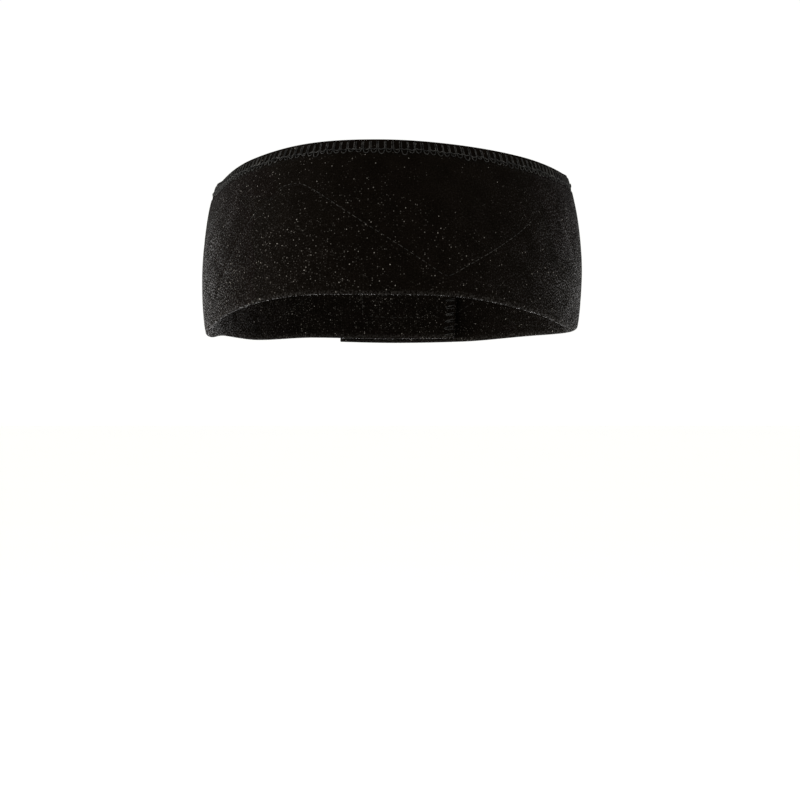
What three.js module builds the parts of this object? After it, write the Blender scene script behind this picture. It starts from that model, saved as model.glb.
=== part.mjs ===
// Wig grip band: a strip of velvet folded lengthwise, its raw edges overlocked with thread,
// laid round a head and closed behind it by a hook and loop fastener.
// Millimetres. +Z is up, the wearer faces -Y, and +X is on the viewer's right.
// The origin is the middle of the head opening.
import * as THREE from "three";

// The head at the height of the band: its breadth, and its reach from the broadest place
// forward to the forehead and backward to the back of the head.
const HEAD_BREADTH = 150.3;
const HEAD_FRONT = 101.7;
const HEAD_BACK = 88.7;
// How the band sits: tipped so that the front is high, leaning in at the top of the forehead,
// and hollowed across its width to the radius of the skull. Angles in degrees.
const TIP = 6.5;
const FOREHEAD_LEAN = 9;
const SKULL_RADIUS = 142;

// The folded strip: two plies pressed into one wall, thinner under the overlock.
const BAND_WIDTH = 65;
const TAIL_WIDTH = 40;
const WALL = 2.6;
const PRESSED_WALL = 1.7;
const PRESSED_SLOPE = 1.2;
const TAIL_CORNER = 6;

// The overlock thread, wound over the raw edges.
const OVERLOCK_WIDTH = 5.5;
const THREAD = 0.5;
const CLEARANCE = 0.3;

// The tails overlap behind the head, with the fastener between them. The outer tail leaves
// the head over a short length before it passes over the inner one.
const OVERLAP = 52;
const CLIMB = 50;
const PAD_LENGTH = 38;
const PAD_WIDTH = 25;
const PAD_THICKNESS = 1.8;
const PAD_CORNER = 3;

// The strip's middle line, by the angle round the head from the middle of the forehead.
// rise: height off the tipped plane, as a share of BAND_WIDTH.
// out: distance off the head's ellipse, as a share of HEAD_BREADTH.
// lean: share of FOREHEAD_LEAN.
// width: share of the way from TAIL_WIDTH to BAND_WIDTH.
const SECTIONS = [
  { around: -150, rise: -0.019, out: 0, lean: -0.3, width: 0.28 },
  { around: -125, rise: -0.015, out: 0.003, lean: -0.3, width: 0.66 },
  { around: -105, rise: -0.003, out: 0.003, lean: -0.03, width: 0.86 },
  { around: -90, rise: -0.033, out: -0.001, lean: 0.21, width: 0.99 },
  { around: -75, rise: -0.06, out: -0.007, lean: 0.58, width: 0.97 },
  { around: -50, rise: -0.025, out: -0.003, lean: 0.86, width: 0.92 },
  { around: -25, rise: 0.003, out: 0.003, lean: 1.05, width: 0.92 },
  { around: 0, rise: -0.004, out: 0.001, lean: 0.8, width: 0.92 },
  { around: 25, rise: -0.001, out: -0.003, lean: 1.02, width: 0.92 },
  { around: 50, rise: -0.025, out: 0.006, lean: 0.42, width: 0.92 },
  { around: 75, rise: -0.031, out: 0.009, lean: 0.23, width: 0.97 },
  { around: 90, rise: 0.019, out: 0.009, lean: 0.4, width: 0.97 },
  { around: 105, rise: 0.029, out: 0.01, lean: 0.48, width: 0.89 },
  { around: 125, rise: 0.019, out: 0.006, lean: 0.2, width: 0.65 },
  { around: 150, rise: -0.015, out: 0, lean: -0.2, width: 0.28 },
  { around: 180, rise: -0.059, out: 0, lean: -0.55, width: 0 },
];

// How finely the surfaces are divided.
const STATION_STEP = 7;
const ROWS_ACROSS = 6;
const CORNER_STEPS = 4;

const { degToRad, smoothstep } = THREE.MathUtils;

// The value of one column of SECTIONS at an angle, on a smooth closed curve through its rows.
function section(column, around) {
  const count = SECTIONS.length;
  const first = SECTIONS[0].around;
  const angle = first + THREE.MathUtils.euclideanModulo(around - first, 360);
  const row = (i) => {
    const wrapped = THREE.MathUtils.euclideanModulo(i, count);
    return { at: SECTIONS[wrapped].around + (360 * (i - wrapped)) / count, value: SECTIONS[wrapped][column] };
  };
  let i = 0;
  while (row(i + 1).at <= angle) i += 1;
  const [before, start, end, after] = [row(i - 1), row(i), row(i + 1), row(i + 2)];
  const span = end.at - start.at;
  const t = (angle - start.at) / span;
  const leaving = ((end.value - before.value) / (end.at - before.at)) * span;
  const arriving = ((after.value - start.value) / (after.at - start.at)) * span;
  const drop = t * t * (3 - 2 * t);
  return (
    (1 - drop) * start.value + drop * end.value + t * (1 - t) * (1 - t) * leaving - t * t * (1 - t) * arriving
  );
}

// A point of the head's ellipse, at the middle of the band's wall, and its outward normal.
function plan(around) {
  const [sin, cos] = [Math.sin(degToRad(around)), Math.cos(degToRad(around))];
  const across = (HEAD_BREADTH + WALL) / 2;
  const along = (cos > 0 ? HEAD_FRONT : HEAD_BACK) + WALL / 2;
  const point = new THREE.Vector2(across * sin, (HEAD_FRONT - HEAD_BACK) / 2 - along * cos);
  const normal = new THREE.Vector2(along * sin, -across * cos).normalize();
  return { point, normal };
}

// Lengths along the strip from the middle of the forehead, degree by degree, and back.
const WALK = [0];
for (let degree = 1; degree <= 240; degree += 1) {
  WALK.push(WALK[degree - 1] + plan(degree).point.distanceTo(plan(degree - 1).point));
}
const HALF_ROUND = WALK[180];
const END = HALF_ROUND + OVERLAP / 2;
// The raw edges lie in by the thread that rims them.
const RIM = CLEARANCE + THREAD;
const RAW_END = END - RIM;

function angleAt(along) {
  const length = Math.abs(along);
  let degree = 0;
  while (WALK[degree + 1] < length) degree += 1;
  const share = (length - WALK[degree]) / (WALK[degree + 1] - WALK[degree]);
  return Math.sign(along) * (degree + share);
}

function stripWidth(along) {
  return TAIL_WIDTH + (BAND_WIDTH - TAIL_WIDTH) * section("width", angleAt(along));
}

// How far the outer tail stands off to pass over the fastener and the inner tail.
function standOff(along) {
  const over = HALF_ROUND - OVERLAP / 2;
  return (WALL + PAD_THICKNESS + 2 * CLEARANCE) * smoothstep(along, over - CLIMB, over);
}

// The worn place of a point of the flat strip: along it, up from its middle line, and off
// the middle of its wall, outwards.
function worn(along, up, off) {
  const around = angleAt(along);
  const { point, normal } = plan(around);
  const lean = degToRad(FOREHEAD_LEAN * section("lean", around));
  const slope = lean + up / SKULL_RADIUS;
  const layer = off + standOff(along);
  const out =
    SKULL_RADIUS * (Math.cos(slope) - Math.cos(lean)) +
    HEAD_BREADTH * section("out", around) +
    layer * Math.cos(slope);
  const height =
    SKULL_RADIUS * (Math.sin(slope) - Math.sin(lean)) +
    BAND_WIDTH * section("rise", around) +
    layer * Math.sin(slope);
  const place = new THREE.Vector3(point.x + normal.x * out, point.y + normal.y * out, height);
  return place.applyAxisAngle(new THREE.Vector3(1, 0, 0), -degToRad(TIP));
}

// A closed body between an outer and an inner grid of points, given in rows along the strip.
function body(name, outer, inner, material) {
  const [rows, columns] = [outer.length, outer[0].length];
  const points = [...outer.flat(), ...inner.flat()];
  const o = (i, j) => i * columns + j;
  const n = (i, j) => rows * columns + i * columns + j;
  const faces = [];
  const quad = (a, b, c, d) => faces.push(a, b, c, a, c, d);
  for (let i = 0; i < rows - 1; i += 1) {
    for (let j = 0; j < columns - 1; j += 1) {
      quad(o(i, j), o(i, j + 1), o(i + 1, j + 1), o(i + 1, j));
      quad(n(i, j), n(i + 1, j), n(i + 1, j + 1), n(i, j + 1));
    }
    quad(o(i, 0), o(i + 1, 0), n(i + 1, 0), n(i, 0));
    quad(o(i + 1, columns - 1), o(i, columns - 1), n(i, columns - 1), n(i + 1, columns - 1));
  }
  for (let j = 0; j < columns - 1; j += 1) {
    quad(o(0, j + 1), o(0, j), n(0, j), n(0, j + 1));
    quad(o(rows - 1, j), o(rows - 1, j + 1), n(rows - 1, j + 1), n(rows - 1, j));
  }
  const geometry = new THREE.BufferGeometry().setFromPoints(points);
  geometry.setIndex(faces);
  geometry.computeVertexNormals();
  const mesh = new THREE.Mesh(geometry, material);
  mesh.name = name;
  return mesh;
}

// Steps round a rounded corner, as its distance in from each of the two edges that it joins.
function corner(radius) {
  return Array.from({ length: CORNER_STEPS + 1 }, (_, k) => {
    const turn = (Math.PI / 2) * (k / CORNER_STEPS);
    return { inFromEnd: radius * (1 - Math.cos(turn)), inFromTop: radius * (1 - Math.sin(turn)) };
  });
}

// Places along the strip: the rounded corners of the tails, the slope out of the pressed
// edge, and even steps between.
const PRESSED = OVERLOCK_WIDTH + CLEARANCE;
const TAIL_STEPS = [...corner(TAIL_CORNER), { inFromEnd: PRESSED + PRESSED_SLOPE + 1, inFromTop: 0 }];

function stations() {
  const start = TAIL_STEPS.map((step) => ({ along: step.inFromEnd - RAW_END, cut: step.inFromTop }));
  const finish = start.map(({ along, cut }) => ({ along: -along, cut })).reverse();
  const reach = finish[0].along;
  const count = Math.round((2 * reach) / STATION_STEP);
  const between = Array.from({ length: count - 1 }, (_, k) => ({
    along: -reach + (2 * reach * (k + 1)) / count,
    cut: 0,
  }));
  return [...start, ...between, ...finish];
}

// Half the thickness of the wall at a distance in from the nearest raw edge.
function halfWall(inwards) {
  const full = smoothstep(inwards, PRESSED, PRESSED + PRESSED_SLOPE);
  return (PRESSED_WALL + (WALL - PRESSED_WALL) * full) / 2;
}

// Both faces of the strip at one place along it, from the raw edge down to the fold.
function stripSection({ along, cut }, side) {
  const half = stripWidth(along) / 2;
  const inFromEnd = RAW_END - Math.abs(along);
  const foldHalf = halfWall(inFromEnd);
  const top = half - RIM - cut;
  const foldCentre = -half + foldHalf;
  const ups = [top, top - PRESSED, top - PRESSED - PRESSED_SLOPE];
  const last = ups[2];
  for (let k = 1; k <= ROWS_ACROSS; k += 1) ups.push(last + ((foldCentre - last) * k) / ROWS_ACROSS);
  const face = ups.map((up) => worn(along, up, side * halfWall(Math.min(inFromEnd, top - up))));
  for (let k = 1; k < CORNER_STEPS; k += 1) {
    const turn = (Math.PI / 2) * (k / CORNER_STEPS);
    face.push(worn(along, foldCentre - foldHalf * Math.sin(turn), side * foldHalf * Math.cos(turn)));
  }
  return face;
}

// The way of the overlock: up the end of the inner tail, along the top edge and down the end
// of the outer tail. Each place has its direction inwards, into the strip.
function overlockPath() {
  const places = stations();
  const middle = places.filter((place) => RAW_END - Math.abs(place.along) > TAIL_CORNER + 0.01);
  const tops = middle.map(({ along }) => {
    const slope = (stripWidth(along + 1) - stripWidth(along - 1)) / 4;
    const at = new THREE.Vector2(along, stripWidth(along) / 2 - RIM);
    return { at, inward: new THREE.Vector2(slope, -1).normalize() };
  });
  const tail = (sign) => {
    const half = stripWidth(sign * END) / 2;
    const top = half - RIM;
    const centre = new THREE.Vector2(sign * (RAW_END - TAIL_CORNER), top - TAIL_CORNER);
    const side = new THREE.Vector2(-sign, 0);
    const down = [-half, -half / 3, half / 3].map((up) => {
      return { at: new THREE.Vector2(sign * RAW_END, up), inward: side };
    });
    const round = corner(TAIL_CORNER).map((step) => {
      const at = new THREE.Vector2(sign * (RAW_END - step.inFromEnd), top - step.inFromTop);
      return { at, inward: centre.clone().sub(at).normalize() };
    });
    return [...down, ...round];
  };
  return [...tail(-1), ...tops, ...tail(1).reverse()];
}

// A channel over the raw edge: the thread on the inner face, round the edge, and on the outer.
function overlockSection({ at, inward }) {
  const inside = PRESSED_WALL / 2 + CLEARANCE;
  const outside = inside + THREAD;
  const place = ([inwards, off]) => worn(at.x + inward.x * inwards, at.y + inward.y * inwards, off);
  const outer = [
    [OVERLOCK_WIDTH, -outside],
    [-CLEARANCE / 2, -outside],
    [-RIM, -inside / 2],
    [-RIM, inside / 2],
    [-CLEARANCE / 2, outside],
    [OVERLOCK_WIDTH, outside],
  ];
  const inner = [
    [OVERLOCK_WIDTH, -inside],
    [-CLEARANCE, -inside],
    [-CLEARANCE, -inside / 2],
    [-CLEARANCE, inside / 2],
    [-CLEARANCE, inside],
    [OVERLOCK_WIDTH, inside],
  ];
  return { outer: outer.map(place), inner: inner.map(place) };
}

// Both faces of the fastener's pad at one place along it.
function padSection({ along, cut }, side) {
  const half = PAD_WIDTH / 2 - cut;
  const off = WALL / 2 + CLEARANCE + PAD_THICKNESS / 2 + (side * PAD_THICKNESS) / 2;
  const layer = off - standOff(along);
  return Array.from({ length: ROWS_ACROSS }, (_, k) => {
    return worn(along, half - (2 * half * k) / (ROWS_ACROSS - 1), layer);
  });
}

const velvet = new THREE.MeshStandardMaterial({ name: "velvet", color: "#0e0c0c", roughness: 0.95 });
const thread = new THREE.MeshStandardMaterial({ name: "overlock_thread", color: "#17161a", roughness: 0.7 });
const tape = new THREE.MeshStandardMaterial({ name: "hook_and_loop", color: "#121212", roughness: 0.9 });

const places = stations();
const velvetBand = body(
  "velvet_band",
  places.map((place) => stripSection(place, 1)),
  places.map((place) => stripSection(place, -1)),
  velvet,
);

const channel = overlockPath().map(overlockSection);
const overlockEdge = body(
  "overlock_edge",
  channel.map((part) => part.outer),
  channel.map((part) => part.inner),
  thread,
);

const padHalf = PAD_LENGTH / 2;
const padSteps = corner(PAD_CORNER).map((step) => ({ along: step.inFromEnd - padHalf, cut: step.inFromTop }));
const padPlaces = [
  ...padSteps,
  ...[-padHalf / 2, 0, padHalf / 2].map((along) => ({ along, cut: 0 })),
  ...padSteps.map(({ along, cut }) => ({ along: -along, cut })).reverse(),
].map(({ along, cut }) => ({ along: HALF_ROUND + along, cut }));
const closurePad = body(
  "closure_pad",
  padPlaces.map((place) => padSection(place, 1)),
  padPlaces.map((place) => padSection(place, -1)),
  tape,
);

const band = new THREE.Group();
band.name = "wig_grip_band";
band.add(velvetBand, overlockEdge, closurePad);

export default band;
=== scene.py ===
"""Wig grip band: a strip of velvet folded lengthwise, its raw edges overlocked, quilted in a
zigzag and closed behind the head by hook and loop tape.

Metres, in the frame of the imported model: +Z is up, the wearer faces -Y, +X is on the viewer's
right, and the origin is the middle of the head opening.
"""

import math

import bmesh
import bpy
import numpy as np
from mathutils import Matrix, Vector, noise
from mathutils.kdtree import KDTree


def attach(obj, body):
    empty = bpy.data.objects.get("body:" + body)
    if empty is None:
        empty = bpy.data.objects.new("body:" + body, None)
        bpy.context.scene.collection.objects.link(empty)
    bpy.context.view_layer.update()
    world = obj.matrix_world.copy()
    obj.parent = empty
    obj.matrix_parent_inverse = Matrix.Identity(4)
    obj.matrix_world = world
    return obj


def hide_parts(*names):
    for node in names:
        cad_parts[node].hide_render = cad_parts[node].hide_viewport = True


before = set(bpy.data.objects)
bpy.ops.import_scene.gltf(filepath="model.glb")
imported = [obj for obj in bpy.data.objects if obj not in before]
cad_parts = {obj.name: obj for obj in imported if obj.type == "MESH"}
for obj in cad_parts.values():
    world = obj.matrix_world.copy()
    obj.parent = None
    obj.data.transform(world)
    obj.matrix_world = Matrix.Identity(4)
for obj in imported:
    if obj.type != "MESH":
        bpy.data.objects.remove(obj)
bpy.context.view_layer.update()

bl_info = {
    "name": "Wig grip band",
    "version": (1, 0, 0),
    "blender": (4, 5, 0),
    "location": "3D View > Sidebar > Grip band",
    "description": "A velvet band that keeps a wig in place, folded, overlocked and quilted",
    "category": "Add Mesh",
}

MM = 0.001

# The strip's middle line.
# around: the angle round the head from the middle of the forehead, in degrees.
# rise: height off the tipped plane, as a share of the band's width.
# out: distance off the head's ellipse, as a share of the head's breadth.
# lean: share of the forehead's lean.
# width: share of the way from the tails' width to the band's.
SECTION_COLUMNS = ("around", "rise", "out", "lean", "width")
SECTIONS = [
    (-150, -0.019, 0, -0.3, 0.28),
    (-125, -0.015, 0.003, -0.3, 0.66),
    (-105, -0.003, 0.003, -0.03, 0.86),
    (-90, -0.033, -0.001, 0.21, 0.99),
    (-75, -0.06, -0.007, 0.58, 0.97),
    (-50, -0.025, -0.003, 0.86, 0.92),
    (-25, 0.003, 0.003, 1.05, 0.92),
    (0, -0.004, 0.001, 0.8, 0.92),
    (25, -0.001, -0.003, 1.02, 0.92),
    (50, -0.025, 0.006, 0.42, 0.92),
    (75, -0.031, 0.009, 0.23, 0.97),
    (90, 0.019, 0.009, 0.4, 0.97),
    (105, 0.029, 0.01, 0.48, 0.89),
    (125, 0.019, 0.006, 0.2, 0.65),
    (150, -0.015, 0, -0.2, 0.28),
    (180, -0.059, 0, -0.55, 0),
]

# Corners of the quilting: millimetres along the strip, and up as a share of half its width.
QUILTING_CORNERS = [
    (-262, 0.5), (-208, -0.74), (-148, 0.5), (-88.5, -0.78),
    (-56, 0.165), (-42.5, 0.43), (-33, 0.44), (-24.5, 0.3),
    (27, -0.78), (50, -0.326), (64, -0.03), (78, 0.3),
    (89, 0.47), (148, -0.74), (205, 0.5), (262, -0.7),
]
# The quilting ends this many millimetres from the middle of the forehead. Its line is worked
# out in steps of so many millimetres, and rounded over so many steps on each side of a corner.
QUILTING_END = 250.0
QUILTING_STEP = 0.25
QUILTING_ROUNDING = 14

# Where the pile closes over the quilting: millimetres along the strip, and how fully.
QUILTING_SUNK = [
    (-100, 0), (-90, 1), (-67, 1), (-65, 0),
    (-57, 0), (-54, 1), (-46, 1), (-43, 0),
    (69, 0), (72, 1), (100, 1), (110, 0),
]

# One stitch of each overlock thread, from one crossing of the rim to the next. Each point is
# its share of the stitch, its distance in from the raw edge as a share of the overlock's depth,
# and its height as a share of the way from the middle of the wall to the face.
UPPER_LOOPER = [
    (0.0, -0.05, 0.0),
    (0.06, -0.035, 0.36),
    (0.09, 0.04, 0.6),
    (0.1, 0.12, 0.74),
    (0.1, 0.22, 0.98),
    (0.1, 0.45, 1.04),
    (0.1, 0.68, 1.04),
    (0.15, 0.82, 1.04),
    (0.25, 0.94, 1.02),
    (0.4, 1.0, 1.0),
    (0.6, 1.0, 1.0),
    (0.75, 0.94, 1.02),
    (0.85, 0.82, 1.04),
    (0.9, 0.68, 1.04),
    (0.9, 0.45, 1.04),
    (0.9, 0.22, 0.98),
    (0.9, 0.12, 0.74),
    (0.91, 0.04, 0.6),
    (0.94, -0.035, 0.36),
]
LOWER_LOOPER = [
    (0.0, 0.7, -1.04),
    (0.07, 0.66, -1.04),
    (0.12, 0.5, -1.04),
    (0.15, 0.2, -1.04),
    (0.17, 0.02, -0.95),
    (0.22, -0.05, -0.4),
    (0.35, -0.06, 0.1),
    (0.5, -0.065, 0.2),
    (0.65, -0.06, 0.1),
    (0.78, -0.05, -0.4),
    (0.83, 0.02, -0.95),
    (0.85, 0.2, -1.04),
    (0.88, 0.5, -1.04),
    (0.93, 0.66, -1.04),
]
NEEDLE_THREAD = [
    (0.0, 0.74, 1.45),
    (0.2, 0.74, 1.38),
    (0.35, 0.74, 1.1),
    (0.5, 0.75, 0.85),
    (0.65, 0.74, 1.1),
    (0.8, 0.74, 1.38),
]

# One lockstitch on a face: share of the stitch, and millimetres above the cloth.
LOCKSTITCH = [(0.0, -0.55), (0.15, -0.08), (0.32, 0.08), (0.5, 0.12), (0.68, 0.08), (0.85, -0.08)]

# The seams of the tapes run this far inside their edges.
TAPE_SEAM_INSET = 2 * MM

# Sides of a thread: few, because its stitches are repeated hundreds of times.
SIDES = 6

# Places closer than this are one place.
TOUCHING = 0.0001 * MM


def linear(chart_colour):
    """A colour of a paint chart, #rrggbb, as the linear values that a shader takes."""
    channels = [int(chart_colour[i : i + 2], 16) / 255 for i in (1, 3, 5)]
    return [c / 12.92 if c <= 0.04045 else ((c + 0.055) / 1.055) ** 2.4 for c in channels] + [1.0]


def darker(tone, share):
    """A colour of which each channel has only a share of its value."""
    return [share * c for c in tone[:3]] + [1]


def length(name, millimetres, description):
    """A length that a user may change."""
    return bpy.props.FloatProperty(
        name=name, description=description, default=millimetres * MM, min=0, unit="LENGTH"
    )


def colour(name, chart_colour, description):
    """A colour that a user may change."""
    return bpy.props.FloatVectorProperty(
        name=name,
        description=description,
        default=linear(chart_colour),
        size=4,
        min=0,
        max=1,
        subtype="COLOR",
    )


class GripBandSizes(bpy.types.PropertyGroup):
    """Sizes of the head, of the strip laid round it, and of its seams."""

    head_breadth: length("Head breadth", 150.3, "Breadth of the head under the band")
    head_front: length("Head front", 101.7, "Reach from the broadest place to the forehead")
    head_back: length("Head back", 88.7, "Reach from the broadest place to the back")
    skull_radius: length("Skull radius", 142, "Radius of the hollow across the band")
    band_width: length("Band width", 65, "Greatest width of the folded strip, with its overlock")
    tail_width: length("Tail width", 40, "Width of the folded strip behind the head")
    wall: length("Wall", 2.6, "Thickness of the two plies together")
    pressed_wall: length("Pressed wall", 1.7, "Thickness of the two plies in the overlock")
    ply: length("Ply", 1.1, "Thickness of one ply with its pile")
    tail_corner: length("Tail corner", 6, "Radius of the raw corners of the tails")
    rim: length("Rim", 0.8, "How far the overlock stands beyond the raw edge")
    edge_pile: length("Edge pile", 0.6, "How far the pile stands beyond the raw edge")
    overlock_depth: length("Overlock depth", 5.5, "How far the overlock reaches in")
    overlock_stitch: length("Overlock stitch", 3.25, "Length of one overlock stitch")
    overlock_thread: length("Overlock thread", 0.38, "Thickness of the overlock thread")
    overlap: length("Overlap", 52, "How far the tails overlap")
    climb: length("Climb", 50, "Length in which the outer tail rises over the inner one")
    stitch: length("Stitch", 2.6, "Length of one lockstitch")
    sewing_thread: length("Sewing thread", 0.3, "Thickness of the sewing thread")
    tape_length: length("Tape length", 38, "Length of the hook and loop tapes")
    tape_width: length("Tape width", 25, "Width of the hook and loop tapes")
    tape_space: length("Tape space", 1.8, "Thickness of the two tapes closed")
    tape_corner: length("Tape corner", 3, "Radius of the tapes' corners")
    tape_clearance: length("Tape clearance", 0.3, "Space between a tape and its tail")
    tip: bpy.props.FloatProperty(
        name="Tip",
        description="How far the band is tipped, front up",
        default=math.radians(6.5),
        unit="ROTATION",
    )
    forehead_lean: bpy.props.FloatProperty(
        name="Forehead lean",
        description="How far the band leans in at the top of the forehead",
        default=math.radians(9),
        unit="ROTATION",
    )


class GripBandColours(bpy.types.PropertyGroup):
    """Colours of the cloth, the threads, the tapes and the studio."""

    velvet: colour("Velvet", "#030201", "Pile of the velvet, looked into")
    velvet_tips: colour("Velvet tips", "#0a0705", "Pile of the velvet where it is brushed over")
    # Painted light: a lighter colour laid over the fold, for light that it catches from below.
    fold_light_tone: colour("Ground", "#171513", "Knitted ground between the pile at the fold")
    # Pale specks painted into the colour: partly lint and partly painted glints on the pile's tips.
    lint_and_glints: colour("Lint", "#7a756e", "Pale fibres caught in the pile")
    overlock_thread: colour("Overlock thread", "#302f2d", "Textured polyester thread")
    sewing_thread: colour("Sewing thread", "#2e2c29", "Spun polyester thread")
    tape: colour("Tape", "#121212", "Hook and loop tape")
    paper: colour("Paper", "#fefefd", "Paper of the studio floor")


def section(column, around):
    """One column of SECTIONS at the given angles, on a smooth closed curve through its rows."""
    columns = dict(zip(SECTION_COLUMNS, np.transpose(SECTIONS)))
    at, value = columns["around"], columns[column]
    count = len(at)
    at = np.concatenate([at[-1:] - 360, at, at[:2] + 360])
    value = np.concatenate([value[-1:], value, value[:2]])
    angle = at[1] + np.mod(around - at[1], 360)
    i = np.clip(np.searchsorted(at, angle, side="right") - 1, 1, count)
    span = at[i + 1] - at[i]
    t = (angle - at[i]) / span
    leaving = (value[i + 1] - value[i - 1]) / (at[i + 1] - at[i - 1]) * span
    arriving = (value[i + 2] - value[i]) / (at[i + 2] - at[i]) * span
    drop = t * t * (3 - 2 * t)
    ends = (1 - drop) * value[i] + drop * value[i + 1]
    return ends + t * (1 - t) ** 2 * leaving - t * t * (1 - t) * arriving


def smooth_step(x, start, end):
    """0 before start, 1 after end, and a smooth rise between."""
    t = np.clip((x - start) / (end - start), 0, 1)
    return t * t * (3 - 2 * t)


class WornStrip:
    """The flat strip and where each point of it is once it is worn.

    A point of the strip is its distance along from the middle of the forehead, up from the
    middle line, and off the middle of the wall, outwards.
    """

    # The strip is measured up to this angle, which is past both of its ends.
    LAST_DEGREE = 240
    # The wall starts to swell this far in from the overlock, and is full after the slope.
    SWELL_GAP = 0.3 * MM
    SWELL_SLOPE = 1.2 * MM

    def __init__(self, sizes):
        self.sizes = sizes
        self.degrees = np.arange(self.LAST_DEGREE + 1.0)
        self.walk = lengths_along(self.head_line(self.degrees)[0])
        self.half_round = self.walk[180]
        self.raw_end = self.half_round + sizes.overlap / 2 - sizes.rim

    def head_line(self, around):
        """Points of the head's ellipse at the middle of the wall, and its outward normals."""
        s = self.sizes
        angle = np.radians(around)
        sin, cos = np.sin(angle), np.cos(angle)
        across = (s.head_breadth + s.wall) / 2
        along = np.where(cos > 0, s.head_front, s.head_back) + s.wall / 2
        middle = (s.head_front - s.head_back) / 2
        points = np.stack([across * sin, middle - along * cos], axis=-1)
        normals = np.stack([along * sin, -across * cos], axis=-1)
        return points, normals / np.linalg.norm(normals, axis=-1, keepdims=True)

    def angle(self, along):
        """The angle round the head, in degrees, at a distance along the strip."""
        return np.sign(along) * np.interp(np.abs(along), self.walk, self.degrees)

    def half_width(self, along):
        """Half the width of the folded strip, with its overlock."""
        s = self.sizes
        share = section("width", self.angle(along))
        return (s.tail_width + (s.band_width - s.tail_width) * share) / 2

    def stand_off(self, along):
        """How far the outer tail stands off to pass over the tapes and the inner tail."""
        s = self.sizes
        over = self.half_round - s.overlap / 2
        layers = s.wall + s.tape_space + 2 * s.tape_clearance
        return layers * smooth_step(along, over - s.climb, over)

    def half_wall(self, inwards):
        """Half the thickness of the wall, at a distance in from the nearest raw edge."""
        s = self.sizes
        pressed = s.overlock_depth + self.SWELL_GAP
        full = smooth_step(inwards, pressed, pressed + self.SWELL_SLOPE)
        return (s.pressed_wall + (s.wall - s.pressed_wall) * full) / 2

    def place(self, along, up, off):
        """Where points of the strip are once it is worn."""
        s = self.sizes
        along, up, off = np.broadcast_arrays(along, up, off)
        around = self.angle(along)
        points, normals = self.head_line(around)
        lean = s.forehead_lean * section("lean", around)
        slope = lean + up / s.skull_radius
        layer = off + self.stand_off(along)
        out = (
            s.skull_radius * (np.cos(slope) - np.cos(lean))
            + s.head_breadth * section("out", around)
            + layer * np.cos(slope)
        )
        z = (
            s.skull_radius * (np.sin(slope) - np.sin(lean))
            + s.band_width * section("rise", around)
            + layer * np.sin(slope)
        )
        x, y = np.moveaxis(points + normals * out[..., None], -1, 0)
        sin, cos = math.sin(-s.tip), math.cos(-s.tip)
        return np.stack([x, y * cos - z * sin, y * sin + z * cos], axis=-1)


def lengths_along(points):
    """The length of the line through the points, up to each of them."""
    steps = np.linalg.norm(np.diff(points, axis=0), axis=1)
    return np.concatenate([[0.0], np.cumsum(steps)])


def even_steps(points, step):
    """Points at even steps along the line through the given points."""
    lengths = lengths_along(points)
    places = np.linspace(0, lengths[-1], max(2, round(lengths[-1] / step) + 1))
    return np.stack([np.interp(places, lengths, column) for column in points.T], axis=-1)


def quilting_line(strip):
    """The zigzag of the quilting in the flat strip, its corners rounded as a machine turns."""
    corners = np.array(QUILTING_CORNERS)
    along = np.arange(-QUILTING_END, QUILTING_END, QUILTING_STEP)
    share = np.interp(along, corners[:, 0], corners[:, 1])
    kernel = np.hanning(2 * QUILTING_ROUNDING + 1)
    padded = np.pad(share, QUILTING_ROUNDING, mode="edge")
    share = np.convolve(padded, kernel / kernel.sum(), "valid")
    along = along * MM
    return np.stack([along, share * strip.half_width(along)], axis=-1)


def tape_stitching(strip, side):
    """The line of stitches that holds a tape to its tail, in the flat strip."""
    s = strip.sizes
    along, up = s.tape_length / 2 - TAPE_SEAM_INSET, s.tape_width / 2 - TAPE_SEAM_INSET
    square = np.array([(-1, -1), (1, -1), (1, 1), (-1, 1), (-1, -1)]) * (along, up)
    return square + (side * strip.half_round, 0)


def seam_lines(strip):
    """The lines of all the seams through the velvet, in the flat strip."""
    return [quilting_line(strip), tape_stitching(strip, -1), tape_stitching(strip, 1)]


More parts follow.
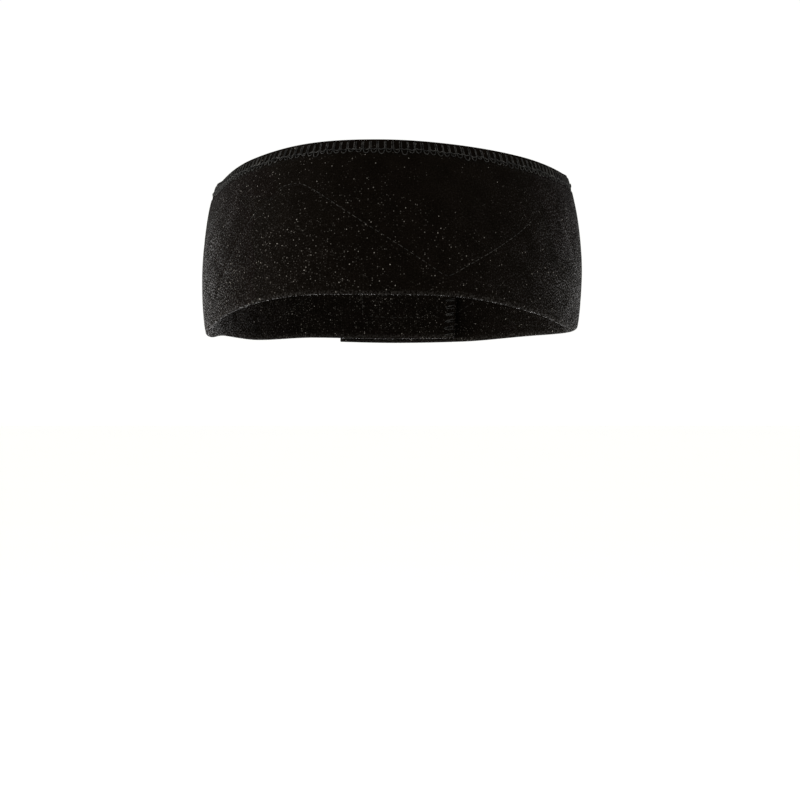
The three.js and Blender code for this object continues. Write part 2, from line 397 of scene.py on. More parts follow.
class Cloth:
    """The faces of the velvet, with the hollows that its stitches pull into it."""

    HOLLOW_DEPTH = 0.28 * MM
    HOLLOW_REACH = 0.9 * MM
    SEAM_STEP = 0.6 * MM
    # Millimetres that the faces swell between the seams, and the distance it takes.
    SWELL = 0.12
    SWELL_REACH = 6 * MM
    # Millimetres that they wave, the length of a wave, the dimension, lacunarity and octaves
    # of its noise, and how far from its middle each face reads it.
    WAVE = 0.1
    WAVE_LENGTH = 0.018
    WAVE_NOISE = (1.0, 2.0, 3)
    FACES_APART = 3
    # In from the raw edge, where the cloth starts to lie loose and where it wholly does.
    LOOSE = (0.004, 0.009)
    # How near to its raw edge the cloth rounds off, and the share of its thickness left there.
    EDGE_REACH = 0.6 * MM
    EDGE_SHARE = 0.45

    def __init__(self, strip):
        self.strip = strip
        lines = [even_steps(line, self.SEAM_STEP) for line in seam_lines(strip)]
        seams = np.concatenate(lines)
        self.seams = KDTree(len(seams))
        for i, (along, up) in enumerate(seams):
            self.seams.insert((along, up, 0), i)
        self.seams.balance()

    def face(self, along, up, inwards, side):
        """How far the face on one side, 1 or -1, lies off the middle of the wall."""
        off = float(self.strip.half_wall(inwards))
        distance = self.seams.find((along, up, 0))[2]
        hollow = math.exp(-((distance / self.HOLLOW_REACH) ** 2))
        swell = 1 - math.exp(-((distance / self.SWELL_REACH) ** 2))
        place = Vector(
            (along / self.WAVE_LENGTH, up / self.WAVE_LENGTH, self.FACES_APART * side)
        )
        wave = noise.fractal(place, *self.WAVE_NOISE)
        loose = float(smooth_step(inwards, *self.LOOSE))
        swollen = loose * (self.SWELL * swell + self.WAVE * wave) * MM
        return off - self.HOLLOW_DEPTH * hollow + swollen

    def rounded_edge(self, from_edge):
        """The share of its thickness that the cloth has near its raw edge."""
        near = np.clip(1 - from_edge / self.EDGE_REACH, 0, 1)
        return self.EDGE_SHARE + (1 - self.EDGE_SHARE) * np.sqrt(1 - near**2)


class EdgeWalk:
    """The way of the overlock: up the inner tail's end, along the top and down the outer's."""

    STEP = 0.4 * MM
    TOP_POINTS = 1201
    CORNER_POINTS = 13
    # The overlock starts and ends this far above the fold.
    FOLD_GAP = 1.2 * MM

    def __init__(self, strip):
        s = strip.sizes
        radius, end = s.tail_corner, strip.raw_end
        along = np.linspace(radius - end, end - radius, self.TOP_POINTS)
        top = np.stack([along, strip.half_width(along) - s.rim], axis=-1)
        half = float(strip.half_width(end))
        high = half - s.rim
        turns = np.radians(np.linspace(0, 90, self.CORNER_POINTS)[1:-1])
        corner = np.stack(
            [radius * (1 - np.cos(turns)) - end, high - radius * (1 - np.sin(turns))], axis=-1
        )
        upright = [(-end, self.FOLD_GAP - half), (-end, high - radius)]
        first = np.concatenate([upright, corner])
        last = first[::-1] * (-1, 1)
        self.points = even_steps(np.concatenate([first, top, last]), self.STEP)
        self.lengths = lengths_along(self.points)
        ahead = np.gradient(self.points, axis=0)
        ahead /= np.linalg.norm(ahead, axis=1, keepdims=True)
        self.inward = np.stack([ahead[:, 1], -ahead[:, 0]], axis=-1)

    def flat(self, length, inwards):
        """Places in the flat strip at lengths along the raw edge and distances in from it."""
        at = [np.interp(length, self.lengths, self.points[:, k]) for k in (0, 1)]
        inward = [np.interp(length, self.lengths, self.inward[:, k]) for k in (0, 1)]
        return at[0] + inward[0] * inwards, at[1] + inward[1] * inwards


def add_node(material, kind, settings=None, links=None):
    """Adds a node to a material, with its settings and what its sockets are linked to.

    A node given as a link stands for its first output.
    """
    node = material.node_tree.nodes.new(kind)
    for name, value in (settings or {}).items():
        if isinstance(name, int) or name in node.inputs:
            node.inputs[name].default_value = value
        else:
            setattr(node, name, value)
    for name, source in (links or {}).items():
        socket = source.outputs[0] if isinstance(source, bpy.types.Node) else source
        material.node_tree.links.new(socket, node.inputs[name])
    return node


def new_material(name):
    """A material whose tree of nodes is empty."""
    material = bpy.data.materials.new(name)
    material.use_nodes = True
    material.node_tree.nodes.clear()
    return material


def pile_velvet(colours):
    """Stretch velvet, knitted with a cut pile of polyamide.

    Looked at straight the pile swallows light and is nearly black. Along its slopes the sides
    of the fibres catch light as a soft sheen, made stronger on the left as painted light. Pale
    specks are painted into its colour, partly lint and partly painted glints on the pile's tips,
    and over the fold its colour is painted lighter, for light that the fold catches from below.
    """
    velvet = new_material("pile_velvet")
    flat = add_node(velvet, "ShaderNodeUVMap", {"uv_map": "flat_cut"})
    # Brushed patches of pile, about 9 mm across.
    brushed = add_node(
        velvet,
        "ShaderNodeTexNoise",
        {"Scale": 1 / (9 * MM), "Detail": 4, "Roughness": 0.6},
        {"Vector": flat},
    )
    # Tufts are 0.2 mm apart and are drawn 0.7 mm apart, so that they show.
    tufts = add_node(
        velvet,
        "ShaderNodeTexNoise",
        {"Scale": 1 / (0.7 * MM), "Detail": 2, "Roughness": 0.7},
        {"Vector": flat},
    )
    patch = add_node(
        velvet, "ShaderNodeMath", {"operation": "MULTIPLY_ADD", 1: 0.55}, {0: brushed, 2: tufts}
    )
    shade = add_node(
        velvet, "ShaderNodeMapRange", {"From Min": 0.55, "From Max": 1.05}, {"Value": patch}
    )
    pile = add_node(
        velvet,
        "ShaderNodeMix",
        {"data_type": "RGBA", 6: colours.velvet, 7: colours.velvet_tips},
        {0: shade},
    )
    # Over the fold the colour is painted lighter, less and less up to 2.4 mm from the fold on each
    # ply: painted light that the fold catches from below.
    spot = add_node(velvet, "ShaderNodeSeparateXYZ", {}, {"Vector": flat})
    off_fold = add_node(velvet, "ShaderNodeMath", {"operation": "ABSOLUTE"}, {0: spot.outputs["Y"]})
    fold_light_share = add_node(
        velvet,
        "ShaderNodeMapRange",
        {"From Min": 2.4 * MM, "From Max": 0.7 * MM},
        {"Value": off_fold},
    )
    fold_light_share = add_node(velvet, "ShaderNodeMath", {"operation": "MULTIPLY"}, {0: fold_light_share, 1: fold_light_share})
    ragged = add_node(
        velvet,
        "ShaderNodeMapRange",
        {"From Min": 0.46, "From Max": 0.62, "To Max": 2.2},
        {"Value": tufts},
    )
    fold_light_share = add_node(
        velvet,
        "ShaderNodeMath",
        {"operation": "MULTIPLY", "use_clamp": True},
        {0: fold_light_share, 1: ragged},
    )
    # Painted light: the fold's lighter colour is mixed into the pile here.
    pile = add_node(
        velvet,
        "ShaderNodeMix",
        {"data_type": "RGBA", 7: colours.fold_light_tone},
        {0: fold_light_share, 6: pile.outputs[2]},
    )
    # Pale specks about 0.3 mm long, at most one to each 0.65 mm, painted into the colour: partly
    # lint and partly painted glints on the pile's tips.
    cells = add_node(velvet, "ShaderNodeTexVoronoi", {"Scale": 1 / (0.65 * MM)}, {"Vector": flat})
    dot = add_node(
        velvet, "ShaderNodeMapRange", {"From Min": 0.42, "From Max": 0.12}, {"Value": cells}
    )
    draw = add_node(velvet, "ShaderNodeSeparateColor", {}, {"Color": cells.outputs["Color"]})
    # The specks are denser in patches 30 mm across. There are most of them near the fold, and in
    # places 200 mm apart along the strip, such as 50 mm to the left of the forehead's middle.
    speck_patches = add_node(
        velvet, "ShaderNodeTexNoise", {"Scale": 1 / (30 * MM), "Detail": 1}, {"Vector": flat}
    )
    phase = add_node(
        velvet,
        "ShaderNodeMath",
        {"operation": "MULTIPLY_ADD", 1: math.tau / (200 * MM), 2: -math.pi},
        {0: spot.outputs["X"]},
    )
    sway = add_node(velvet, "ShaderNodeMath", {"operation": "SINE"}, {0: phase})
    speck_crowding = add_node(
        velvet, "ShaderNodeMath", {"operation": "MULTIPLY_ADD", 1: 0.2}, {0: sway, 2: speck_patches}
    )
    speck_crowding = add_node(
        velvet,
        "ShaderNodeMath",
        {"operation": "MULTIPLY_ADD", 1: -8.0},
        {0: spot.outputs["Y"], 2: speck_crowding},
    )
    bare = add_node(
        velvet,
        "ShaderNodeMapRange",
        {"From Max": 0.9, "To Min": 0.93, "To Max": 0.15},
        {"Value": speck_crowding},
    )
    # Most specks are dim, and a few are bright.
    depth = add_node(
        velvet,
        "ShaderNodeMapRange",
        {"To Min": 1.0, "To Max": 0.004},
        {"Value": draw.outputs["Red"], "From Min": bare},
    )
    share = add_node(velvet, "ShaderNodeMath", {"operation": "POWER", 1: -0.55}, {0: depth})
    glint = add_node(
        velvet,
        "ShaderNodeMath",
        {"operation": "MULTIPLY_ADD", 1: 0.1, 2: -0.1, "use_clamp": True},
        {0: share},
    )
    strength = add_node(velvet, "ShaderNodeMath", {"operation": "MULTIPLY"}, {0: dot, 1: glint})
    # The specks are painted into the colour: partly lint, partly painted glints.
    coat = add_node(
        velvet,
        "ShaderNodeMix",
        {"data_type": "RGBA", 7: colours.lint_and_glints},
        {0: strength, 6: pile.outputs[2]},
    )
    # Tufts that stand up catch more light from the side, and so do the specks.
    sheen = add_node(
        velvet,
        "ShaderNodeMapRange",
        {"From Min": 0.54, "From Max": 0.65, "To Max": 0.58},
        {"Value": tufts},
    )
    swept = add_node(
        velvet,
        "ShaderNodeMapRange",
        {"From Min": 0.35, "From Max": 0.65, "To Min": 0.5, "To Max": 1.5},
        {"Value": brushed},
    )
    # The sheen is made stronger towards the fold, and most on the left: painted light, standing in
    # for stronger light from the left.
    sheen_left_light = add_node(
        velvet,
        "ShaderNodeMapRange",
        {"From Min": -80 * MM, "From Max": 80 * MM, "To Min": 2.15, "To Max": 1.4},
        {"Value": spot.outputs["X"]},
    )
    sheen_fold_gradient = add_node(
        velvet,
        "ShaderNodeMapRange",
        {"From Min": 8 * MM, "From Max": 52 * MM, "To Max": 0.45},
        {"Value": off_fold, "To Min": sheen_left_light},
    )
    swept = add_node(velvet, "ShaderNodeMath", {"operation": "MULTIPLY"}, {0: swept, 1: sheen_fold_gradient})
    sheen = add_node(velvet, "ShaderNodeMath", {"operation": "MULTIPLY"}, {0: sheen, 1: swept})
    sheen = add_node(
        velvet,
        "ShaderNodeMath",
        {"operation": "MULTIPLY_ADD", 1: 0.6, "use_clamp": True},
        {0: strength, 2: sheen},
    )
    # The overlock presses the pile flat, which dulls it for about 13 mm, most at its cut edge.
    edge = add_node(velvet, "ShaderNodeAttribute", {"attribute_name": "from_edge"}).outputs["Fac"]
    pressed = add_node(
        velvet,
        "ShaderNodeMapRange",
        {"From Min": 0.6 * MM, "From Max": 13 * MM},
        {"Value": edge},
    )
    sheen = add_node(velvet, "ShaderNodeMath", {"operation": "MULTIPLY"}, {0: sheen, 1: pressed})
    bump = add_node(
        velvet, "ShaderNodeBump", {"Strength": 0.7, "Distance": 0.25 * MM}, {"Height": patch}
    )
    shader = add_node(
        velvet,
        "ShaderNodeBsdfPrincipled",
        {
            "Roughness": 1.0,
            "Specular IOR Level": 0.01,
            "Sheen Roughness": 0.3,
            "Sheen Tint": (0.8, 0.79, 0.8, 1),
        },
        {"Base Color": coat.outputs[2], "Normal": bump, "Sheen Weight": sheen},
    )
    add_node(velvet, "ShaderNodeOutputMaterial", {}, {"Surface": shader})
    return velvet


def thread_material(name, tone, twist):
    """Polyester thread, spun or textured and twisted, of a tone and a length of twist.

    It is a soft grey beside the velvet, with a fine rope of highlights along its twist, and
    it darkens in spots where its fuzz shades it.
    """
    thread = new_material(name)
    along = add_node(thread, "ShaderNodeUVMap", {"uv_map": "thread"})
    turned = add_node(thread, "ShaderNodeMapping", {"Scale": (1 / twist, 2, 1)}, {"Vector": along})
    # At this scale one band goes once round the thread, and the bands lie two twists apart.
    rope = add_node(
        thread,
        "ShaderNodeTexWave",
        {"wave_type": "BANDS", "bands_direction": "DIAGONAL", "Scale": 0.31, "Distortion": 0.4},
        {"Vector": turned},
    )
    # The spots of fuzz are about two twists long.
    fuzz = add_node(thread, "ShaderNodeTexNoise", {"Scale": 0.5, "Detail": 4}, {"Vector": turned})
    shade = add_node(
        thread, "ShaderNodeMapRange", {"From Min": 0.38, "From Max": 0.56}, {"Value": fuzz}
    )
    shaded = add_node(
        thread, "ShaderNodeMix", {"data_type": "RGBA", 6: tone, 7: darker(tone, 0.2)}, {0: shade}
    )
    bump = add_node(
        thread,
        "ShaderNodeBump",
        {"Strength": 0.6, "Distance": 0.05 * MM},
        {"Height": rope.outputs["Fac"]},
    )
    shader = add_node(
        thread,
        "ShaderNodeBsdfPrincipled",
        {"Roughness": 0.65, "Specular IOR Level": 0.05},
        {"Base Color": shaded.outputs[2], "Normal": bump},
    )
    add_node(thread, "ShaderNodeOutputMaterial", {}, {"Surface": shader})
    return thread


def woven_tape(colours):
    """Polyamide hook and loop tape: a matt woven ground with a dense field of loops."""
    tape = new_material("hook_and_loop_tape")
    place = add_node(tape, "ShaderNodeTexCoord").outputs["Object"]
    # Hooks and loops stand 1.2 mm apart, and their tone changes over about 2 mm.
    field = add_node(tape, "ShaderNodeTexVoronoi", {"Scale": 1 / (1.2 * MM)}, {"Vector": place})
    wool = add_node(
        tape, "ShaderNodeTexNoise", {"Scale": 1 / (2 * MM), "Detail": 3}, {"Vector": place}
    )
    shade = add_node(
        tape,
        "ShaderNodeMix",
        {"data_type": "RGBA", 6: darker(colours.tape, 0.5), 7: colours.tape},
        {0: wool},
    )
    bump = add_node(
        tape, "ShaderNodeBump", {"Strength": 0.8, "Distance": 0.3 * MM}, {"Height": field}
    )
    shader = add_node(
        tape,
        "ShaderNodeBsdfPrincipled",
        {"Roughness": 0.85, "Specular IOR Level": 0.25},
        {"Base Color": shade.outputs[2], "Normal": bump},
    )
    add_node(tape, "ShaderNodeOutputMaterial", {}, {"Surface": shader})
    return tape


def matt_paper(colours):
    """Matt white studio paper, with the faintest cloud in its tone."""
    paper = new_material("matt_paper")
    place = add_node(paper, "ShaderNodeTexCoord").outputs["Object"]
    # The clouds are about a third of a metre across.
    cloud = add_node(paper, "ShaderNodeTexNoise", {"Scale": 3.0, "Detail": 2}, {"Vector": place})
    tone = add_node(
        paper,
        "ShaderNodeMix",
        {"data_type": "RGBA", 6: colours.paper, 7: darker(colours.paper, 0.985)},
        {0: cloud},
    )
    shader = add_node(
        paper,
        "ShaderNodeBsdfPrincipled",
        {"Roughness": 0.95, "Specular IOR Level": 0.1},
        {"Base Color": tone.outputs[2]},
    )
    add_node(paper, "ShaderNodeOutputMaterial", {}, {"Surface": shader})
    return paper


def finished_mesh(name, shape):
    """The mesh of a shape that bmesh operators made."""
    mesh = bpy.data.meshes.new(name)
    shape.to_mesh(mesh)
    shape.free()
    return mesh


def add_object(name, data):
    """Adds an object to the scene."""
    made = bpy.data.objects.new(name, data)
    bpy.context.scene.collection.objects.link(made)
    return made


def add_piece(name, mesh, material, node):
    """Adds a finished piece of the band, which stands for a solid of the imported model."""
    mesh.materials.append(material)
    mesh.shade_smooth()
    piece = add_object(name, mesh)
    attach(piece, "root")
    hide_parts(node)
    return piece


def thread_mesh(name, lines, thickness):
    """Threads along lines of points: round, closed at their ends, with a map along each."""
    curve = bpy.data.curves.new(name, "CURVE")
    curve.dimensions = "3D"
    curve.bevel_depth = thickness / 2
    # A bevel has four sides, and two more for each step of its resolution.
    curve.bevel_resolution = (SIDES - 4) // 2
    curve.use_fill_caps = True
    for line in lines:
        spline = curve.splines.new("POLY")
        spline.points.add(len(line) - 1)
        spline.points.foreach_set("co", np.column_stack([line, np.ones(len(line))]).ravel())
    holder = add_object(name, curve)
    shape = holder.evaluated_get(bpy.context.evaluated_depsgraph_get())
    mesh = bpy.data.meshes.new_from_object(shape)
    mesh.name = name
    bpy.data.objects.remove(holder)
    bpy.data.curves.remove(curve)
    return mesh


def lay_map(mesh, lines):
    """A map along each thread: metres along it, and turns round it.

    The mesh holds the rings that close the ends, the last thread's first, and then the rings
    of each thread.
    """
    runs = [lengths_along(line) for line in lines]
    rings = np.concatenate([run[[-1, 0]] for run in reversed(runs)] + runs)
    run = np.repeat(rings, SIDES)
    turn = np.tile(np.arange(SIDES) / SIDES, len(rings))
    found = len(mesh.vertices)
    if len(run) != found:
        raise RuntimeError(f"{mesh.name}: {found} vertices, and {len(run)} were expected")
    corners = np.zeros(len(mesh.loops), int)
    mesh.loops.foreach_get("vertex_index", corners)
    starts = np.zeros(len(mesh.polygons), int)
    mesh.polygons.foreach_get("loop_start", starts)
    face = np.searchsorted(starts, np.arange(len(corners)), side="right") - 1
    # The last face round a thread ends at a whole turn, and not back at none.
    turns = turn[corners]
    widest = np.maximum.reduceat(turns, starts)[face]
    turns = np.where((turns == 0) & (widest > 0.5), 1.0, turns)
    flat = mesh.uv_layers.active
    flat.name = "thread"
    flat.data.foreach_set("uv", np.stack([run[corners], turns], axis=-1).ravel())


def add_threads(name, lines, thickness, material, node):
    """Adds threads along lines of points as one piece, with their ends joined on."""
    mesh = thread_mesh(name, lines, thickness)
    lay_map(mesh, lines)
    closed = bmesh.new()
    closed.from_mesh(mesh)
    bmesh.ops.remove_doubles(closed, verts=closed.verts, dist=TOUCHING)
    closed.to_mesh(mesh)
    closed.free()
    add_piece(name, mesh, material, node)


class GRIPBAND_OT_velvet(bpy.types.Operator):
    """Cut the velvet, fold it lengthwise and lay it round the head"""

    bl_idname = "grip_band.velvet"
    bl_label = "Velvet strip"

    # Distances between the columns, the outer ply's rows and the inner's, which show less.
    COLUMN = 1.45 * MM
    ROW = 1.0 * MM
    INNER_ROW = 2.8 * MM
    FOLD_ROWS = 8
    CORNER_COLUMNS = 9
    # Millimetres in from a raw edge, closer where the cloth rounds off and where it swells.
    EDGE_ROWS = [0, 0.1, 0.3, 0.6, 1.4, 3, 4.6, 6.1, 6.6, 7, 7.4, 8]
    # The hollows and waves of the faces fade out this far from the fold.
    SETTLE = 3 * MM
    # Half the least space between the plies.
    BETWEEN = 0.1 * MM

    def columns(self, strip):
        """Places along the strip, closer round the corners of the tails, and the corners' cut."""
        end = strip.raw_end + strip.sizes.edge_pile
        radius = strip.sizes.tail_corner + strip.sizes.edge_pile
        turns = np.radians(np.linspace(0, 90, self.CORNER_COLUMNS))
        start = radius * (1 - np.cos(turns)) - end
        cut = radius * (1 - np.sin(turns))
        count = round((end - radius) * 2 / self.COLUMN)
        middle = np.linspace(start[-1], -start[-1], count + 1)[1:-1]
        along = np.concatenate([start, middle, -start[::-1]])
        return along, np.concatenate([cut, np.zeros(len(middle)), cut[::-1]])

    def rows(self, strip):
        """Rows across the cut, from the inner ply's raw edge to the outer's.

        Each is a ply (-1 inner, 0 fold, 1 outer) and a share of the way: from the raw edge to
        the fold on a ply, or round the fold.
        """
        width = strip.sizes.band_width
        edge = np.array(self.EDGE_ROWS) * MM / width
        inner, outer = (
            np.concatenate([edge, np.linspace(edge[-1], 1, round(width / step))[1:]])
            for step in (self.INNER_ROW, self.ROW)
        )
        fold = np.linspace(0, 1, self.FOLD_ROWS + 1)[1:-1]
        return (
            [(-1, share) for share in inner]
            + [(0, share) for share in fold]
            + [(1, share) for share in outer[::-1]]
        )

    def execute(self, context):
        sizes, colours = context.scene.grip_band_sizes, context.scene.grip_band_colours
        strip = WornStrip(sizes)
        cloth = Cloth(strip)
        along, cut = self.columns(strip)
        rows = self.rows(strip)
        half = strip.half_width(along)
        top = half - sizes.rim + sizes.edge_pile - cut
        from_end = strip.raw_end + sizes.edge_pile - np.abs(along)
        fold_radius = strip.half_wall(from_end - sizes.edge_pile)
        fold_middle = fold_radius - half

        up, off, across, thickness = np.zeros((4, len(along), len(rows)))
        from_edge = np.full_like(up, sizes.band_width)
        for j, (ply, share) in enumerate(rows):
            if ply:
                up[:, j] = top + (fold_middle - top) * share
                from_edge[:, j] = np.minimum(from_end, top - up[:, j])
                inwards = from_edge[:, j] - sizes.edge_pile
                face = [cloth.face(a, u, w, ply) for a, u, w in zip(along, up[:, j], inwards)]
                face = np.array(face) * cloth.rounded_edge(from_edge[:, j])
                settle = smooth_step(share, 1, 1 - self.SETTLE / sizes.band_width)
                off[:, j] = ply * (fold_radius + (face - fold_radius) * settle)
                across[:, j] = ply * (up[:, j] + half)
                room = np.abs(off[:, j])
            else:
                turn = math.pi * (1 - share)
                up[:, j] = fold_middle - fold_radius * math.sin(turn)
                off[:, j] = fold_radius * math.cos(turn)
                across[:, j] = (2 * share - 1) * fold_radius
                room = fold_radius
            thickness[:, j] = np.minimum(sizes.ply, room - self.BETWEEN)
        places = strip.place(along[:, None], up, off)

        sheet = bmesh.new()
        flat_cut = sheet.loops.layers.uv.new("flat_cut")
        ply_share = sheet.verts.layers.deform.verify()
        to_edge = sheet.verts.layers.float.new("from_edge")
        # The grid is one wide and one high, so a vertex's place in it tells its column and row.
        columns, lines = len(along) - 1, len(rows) - 1
        bmesh.ops.create_grid(sheet, x_segments=columns, y_segments=lines, size=0.5)
        spot = {}
        for vertex in sheet.verts:
            i, j = round((vertex.co.x + 0.5) * columns), round((vertex.co.y + 0.5) * lines)
            spot[vertex] = (i, j)
            vertex.co = places[i, j]
            vertex[ply_share][0] = thickness[i, j] / sizes.ply
            vertex[to_edge] = from_edge[i, j]
        for face in sheet.faces:
            for loop in face.loops:
                i, j = spot[loop.vert]
                loop[flat_cut].uv = (along[i], across[i, j])

        mesh = finished_mesh("velvet", sheet)
        piece = add_piece("velvet", mesh, pile_velvet(colours), "velvet_band")
        piece.vertex_groups.new(name="ply_share")
        wall = piece.modifiers.new("ply", "SOLIDIFY")
        wall.thickness = sizes.ply
        wall.offset = -1
        wall.vertex_group = "ply_share"
        return {"FINISHED"}


class GRIPBAND_OT_overlock(bpy.types.Operator):
    """Wind the three overlock threads over the raw edges"""

    bl_idname = "grip_band.overlock"
    bl_label = "Overlock"

    TWIST = 0.8 * MM
    # Spread of the places of the stitches and of their depths, as shares of one. The depths
    # differ only beyond a share of the overlock's depth.
    SHIFT = 0.035
    STRETCH = 0.05
    STEADY = 0.3

    def execute(self, context):
        sizes, colours = context.scene.grip_band_sizes, context.scene.grip_band_colours
        strip = WornStrip(sizes)
        edge = EdgeWalk(strip)
        stitches = round(edge.lengths[-1] / sizes.overlock_stitch)
        stitch = edge.lengths[-1] / stitches
        face = sizes.pressed_wall / 2 + sizes.overlock_thread / 2
        chance = np.random.default_rng(11)
        material = thread_material(
            "textured_polyester_thread", colours.overlock_thread, self.TWIST
        )
        for name, shape in (
            ("overlock_upper_looper", UPPER_LOOPER),
            ("overlock_lower_looper", LOWER_LOOPER),
            ("overlock_needle_thread", NEEDLE_THREAD),
        ):
            share, inwards, height = np.array(shape).T
            shift = chance.normal(0, self.SHIFT, (stitches, 1))
            stretch = chance.normal(1, self.STRETCH, (stitches, 1))
            run = (np.arange(stitches)[:, None] + share + shift).ravel() * stitch
            depth = (inwards * np.where(inwards > self.STEADY, stretch, 1)).ravel()
            depth *= sizes.overlock_depth
            off = np.tile(height, stitches) * face
            along, up = edge.flat(np.clip(run, 0, edge.lengths[-1]), depth)
            line = strip.place(along, up, off)
            add_threads(name, [line], sizes.overlock_thread, material, "overlock_edge")
        return {"FINISHED"}


class GRIPBAND_OT_quilting(bpy.types.Operator):
    """Sew the zigzag and the tapes' seams through both plies"""

    bl_idname = "grip_band.quilting"
    bl_label = "Quilting and tape seams"

    TWIST = 0.5 * MM
    # Millimetres: spread of the stitches' heights, and how deep the pile closes over them.
    UNEVEN = 0.07
    SINK = 0.35
    # The seams lie farther in from the raw edges than anything that changes there.
    FAR_IN = 20 * MM

    def execute(self, context):
        sizes, colours = context.scene.grip_band_sizes, context.scene.grip_band_colours
        strip = WornStrip(sizes)
        cloth = Cloth(strip)
        material = thread_material("spun_polyester_thread", colours.sewing_thread, self.TWIST)
        share, height = np.array(LOCKSTITCH).T
        chance = np.random.default_rng(7)
        for name, seams in (
            ("quilting_thread", [quilting_line(strip)]),
            ("tape_thread", [tape_stitching(strip, -1), tape_stitching(strip, 1)]),
        ):
            lines = []
            for seam in seams:
                holes = even_steps(seam, sizes.stitch)
                start, ahead = holes[:-1, None], np.diff(holes, axis=0)[:, None]
                along, up = np.moveaxis((start + ahead * share[:, None]).reshape(-1, 2), -1, 0)
                uneven = chance.normal(0, self.UNEVEN, (len(holes) - 1, 1))
                sunk = self.SINK * np.interp(along / MM, *np.transpose(QUILTING_SUNK))
                lift = ((height + uneven).ravel() - sunk) * MM
                for side in (1, -1):
                    face = [cloth.face(a, u, self.FAR_IN, side) for a, u in zip(along, up)]
                    lines.append(strip.place(along, up, side * (np.array(face) + lift)))
            add_threads(name, lines, sizes.sewing_thread, material, "velvet_band")
        return {"FINISHED"}


class GRIPBAND_OT_tapes(bpy.types.Operator):
    """Lay the hook tape and the loop tape between the tails"""

    bl_idname = "grip_band.tapes"
    bl_label = "Hook and loop tapes"

    GRID = (30, 20)
    # Space between a tape and what lies on both of its sides.
    GAP = 0.12 * MM
    # Height of the tapes' unevenness, and how far apart it changes.
    UNEVEN = 0.04 * MM
    UNEVEN_REACH = 1.5 * MM

    def execute(self, context):
        sizes, colours = context.scene.grip_band_sizes, context.scene.grip_band_colours
        strip = WornStrip(sizes)
        material = woven_tape(colours)
        inner_face = sizes.wall / 2
        each = (sizes.tape_space + 2 * sizes.tape_clearance) / 2
        for name, low in (("loop_tape", inner_face), ("hook_tape", inner_face + each)):
            tape = bmesh.new()
            x_segments, y_segments = self.GRID
            bmesh.ops.create_grid(tape, x_segments=x_segments, y_segments=y_segments, size=0.5)
            flat = Matrix.Diagonal((sizes.tape_length, sizes.tape_width, 1, 1))
            bmesh.ops.transform(tape, matrix=flat, verts=tape.verts)
            corners = [v for v in tape.verts if len(v.link_faces) == 1]
            bmesh.ops.bevel(
                tape,
                geom=corners,
                offset=sizes.tape_corner,
                segments=4,
                profile=0.5,
                affect="VERTICES",
                material=-1,
            )
            grown = bmesh.ops.extrude_face_region(tape, geom=tape.faces[:])
            raised = [item for item in grown["geom"] if isinstance(item, bmesh.types.BMVert)]
            bmesh.ops.translate(tape, verts=raised, vec=(0, 0, each - self.GAP))
            for vertex in tape.verts:
                along, up, layer = vertex.co
                along += strip.half_round
                off = low + self.GAP / 2 + layer - float(strip.stand_off(along))
                off += self.UNEVEN * noise.noise(vertex.co / self.UNEVEN_REACH)
                vertex.co = strip.place(along, up, off)
            bmesh.ops.recalc_face_normals(tape, faces=tape.faces)
            mesh = finished_mesh(name, tape)
            add_piece(name, mesh, material, "closure_pad")
        return {"FINISHED"}


class GRIPBAND_OT_declare_cloth(bpy.types.Operator):
    """Does nothing: it states neither the flat size of the velvet nor what is sewn to it"""

    bl_idname = "grip_band.declare_cloth"
    bl_label = "Cloth facts"

    # Places along the strip.
    PLACES = 2001

    def execute(self, context):
        return {"FINISHED"}


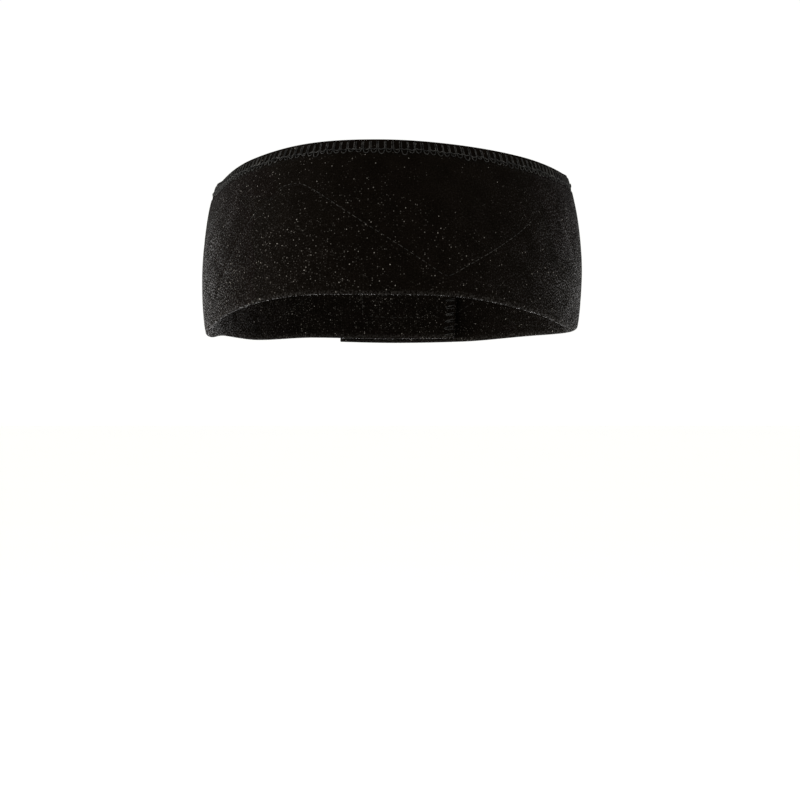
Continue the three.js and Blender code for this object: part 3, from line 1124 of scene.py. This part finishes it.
class GRIPBAND_OT_stage(bpy.types.Operator):
    """Set up the floor, the lights and the camera"""

    bl_idname = "grip_band.stage"
    bl_label = "Studio"

    # The floor is a disc, with a ring round its rim.
    FLOOR_RADIUS = 30
    FLOOR_RING = 27
    FLOOR_SIDES = 96
    FLOOR_HEIGHT = -0.3
    # Each light's name, place, width and height, and watts. All are aimed at the origin.
    LIGHTS = [
        ("key", (-0.5, -1.1, 1.1), (0.9, 0.9), 12),
        ("fill", (0.9, -0.9, 0.5), (0.9, 0.9), 1.5),
        ("left_strip", (-1.1, 0.05, -0.05), (0.5, 0.45), 17),
        ("right_strip", (1.1, 0.15, -0.05), (0.5, 0.45), 6),
        ("back_strip", (0, 1.2, 0.9), (1.2, 0.5), 7),
    ]
    SKY = (1, 1, 0.985, 1)
    SKY_STRENGTH = 1.02
    # The camera is level, 61 mm below the origin and a little to the right of it. It is turned
    # so that the origin stands these pixels to the left of the middle of the picture.
    AZIMUTH = math.radians(2.92)
    DISTANCE = 1.4
    CAMERA_HEIGHT = -0.0609
    PIXELS_LEFT = 10.7
    # Pixels to a millimetre at the origin, and pixels across the picture.
    PIXELS_PER_MM = 2.42
    PICTURE = 800
    # Millimetres across the camera's sensor.
    SENSOR = 36
    CLIP = (0.05, 60)

    def execute(self, context):
        scene = context.scene
        floor = bmesh.new()
        bmesh.ops.create_circle(
            floor, cap_ends=True, segments=self.FLOOR_SIDES, radius=self.FLOOR_RADIUS
        )
        bmesh.ops.inset_region(floor, faces=floor.faces[:], thickness=self.FLOOR_RING)
        bmesh.ops.translate(floor, verts=floor.verts, vec=(0, 0, self.FLOOR_HEIGHT))
        mesh = finished_mesh("floor", floor)
        mesh.materials.append(matt_paper(scene.grip_band_colours))
        add_object("floor", mesh)

        origin = Vector((0, 0, 0))
        for name, place, size, watts in self.LIGHTS:
            lamp = bpy.data.lights.new(name, "AREA")
            lamp.shape = "RECTANGLE"
            lamp.size, lamp.size_y = size
            lamp.energy = watts
            holder = add_object(name, lamp)
            holder.location = place
            aim = origin - Vector(place)
            holder.rotation_euler = aim.to_track_quat("-Z", "Y").to_euler()

        world = bpy.data.worlds.new("studio")
        world.use_nodes = True
        sky = world.node_tree.nodes["Background"]
        sky.inputs["Color"].default_value = self.SKY
        sky.inputs["Strength"].default_value = self.SKY_STRENGTH
        scene.world = world
        scene.view_settings.view_transform = "Standard"

        focal = self.PIXELS_PER_MM / MM * self.DISTANCE
        camera = add_object("camera", bpy.data.cameras.new("camera"))
        camera.location = (
            self.DISTANCE * math.sin(self.AZIMUTH),
            -self.DISTANCE * math.cos(self.AZIMUTH),
            self.CAMERA_HEIGHT,
        )
        turn = self.AZIMUTH - math.atan(self.PIXELS_LEFT / focal)
        camera.rotation_euler = (math.pi / 2, 0, turn)
        camera.data.sensor_width = self.SENSOR
        camera.data.lens = self.SENSOR * focal / self.PICTURE
        camera.data.clip_start, camera.data.clip_end = self.CLIP
        scene.camera = camera
        return {"FINISHED"}


class VIEW3D_PT_grip_band(bpy.types.Panel):
    """Lists the steps that make the band, and the sizes and colours behind them"""

    bl_label = "Wig grip band"
    bl_space_type = "VIEW_3D"
    bl_region_type = "UI"
    bl_category = "Grip band"

    def draw(self, context):
        for step in STEPS:
            self.layout.operator(step.bl_idname)
        for values in (context.scene.grip_band_sizes, context.scene.grip_band_colours):
            box = self.layout.box()
            for name in type(values).__annotations__:
                box.prop(values, name)


STEPS = (
    GRIPBAND_OT_velvet,
    GRIPBAND_OT_overlock,
    GRIPBAND_OT_quilting,
    GRIPBAND_OT_tapes,
    GRIPBAND_OT_declare_cloth,
    GRIPBAND_OT_stage,
)
CLASSES = (GripBandSizes, GripBandColours, *STEPS, VIEW3D_PT_grip_band)


def register():
    for made in CLASSES:
        bpy.utils.register_class(made)
    bpy.types.Scene.grip_band_sizes = bpy.props.PointerProperty(type=GripBandSizes)
    bpy.types.Scene.grip_band_colours = bpy.props.PointerProperty(type=GripBandColours)


def unregister():
    del bpy.types.Scene.grip_band_colours
    del bpy.types.Scene.grip_band_sizes
    for made in reversed(CLASSES):
        bpy.utils.unregister_class(made)


def main():
    register()
    bpy.ops.grip_band.velvet()
    bpy.ops.grip_band.overlock()
    bpy.ops.grip_band.quilting()
    bpy.ops.grip_band.tapes()
    bpy.ops.grip_band.declare_cloth()
    bpy.ops.grip_band.stage()


if __name__ == "__main__":
    main()
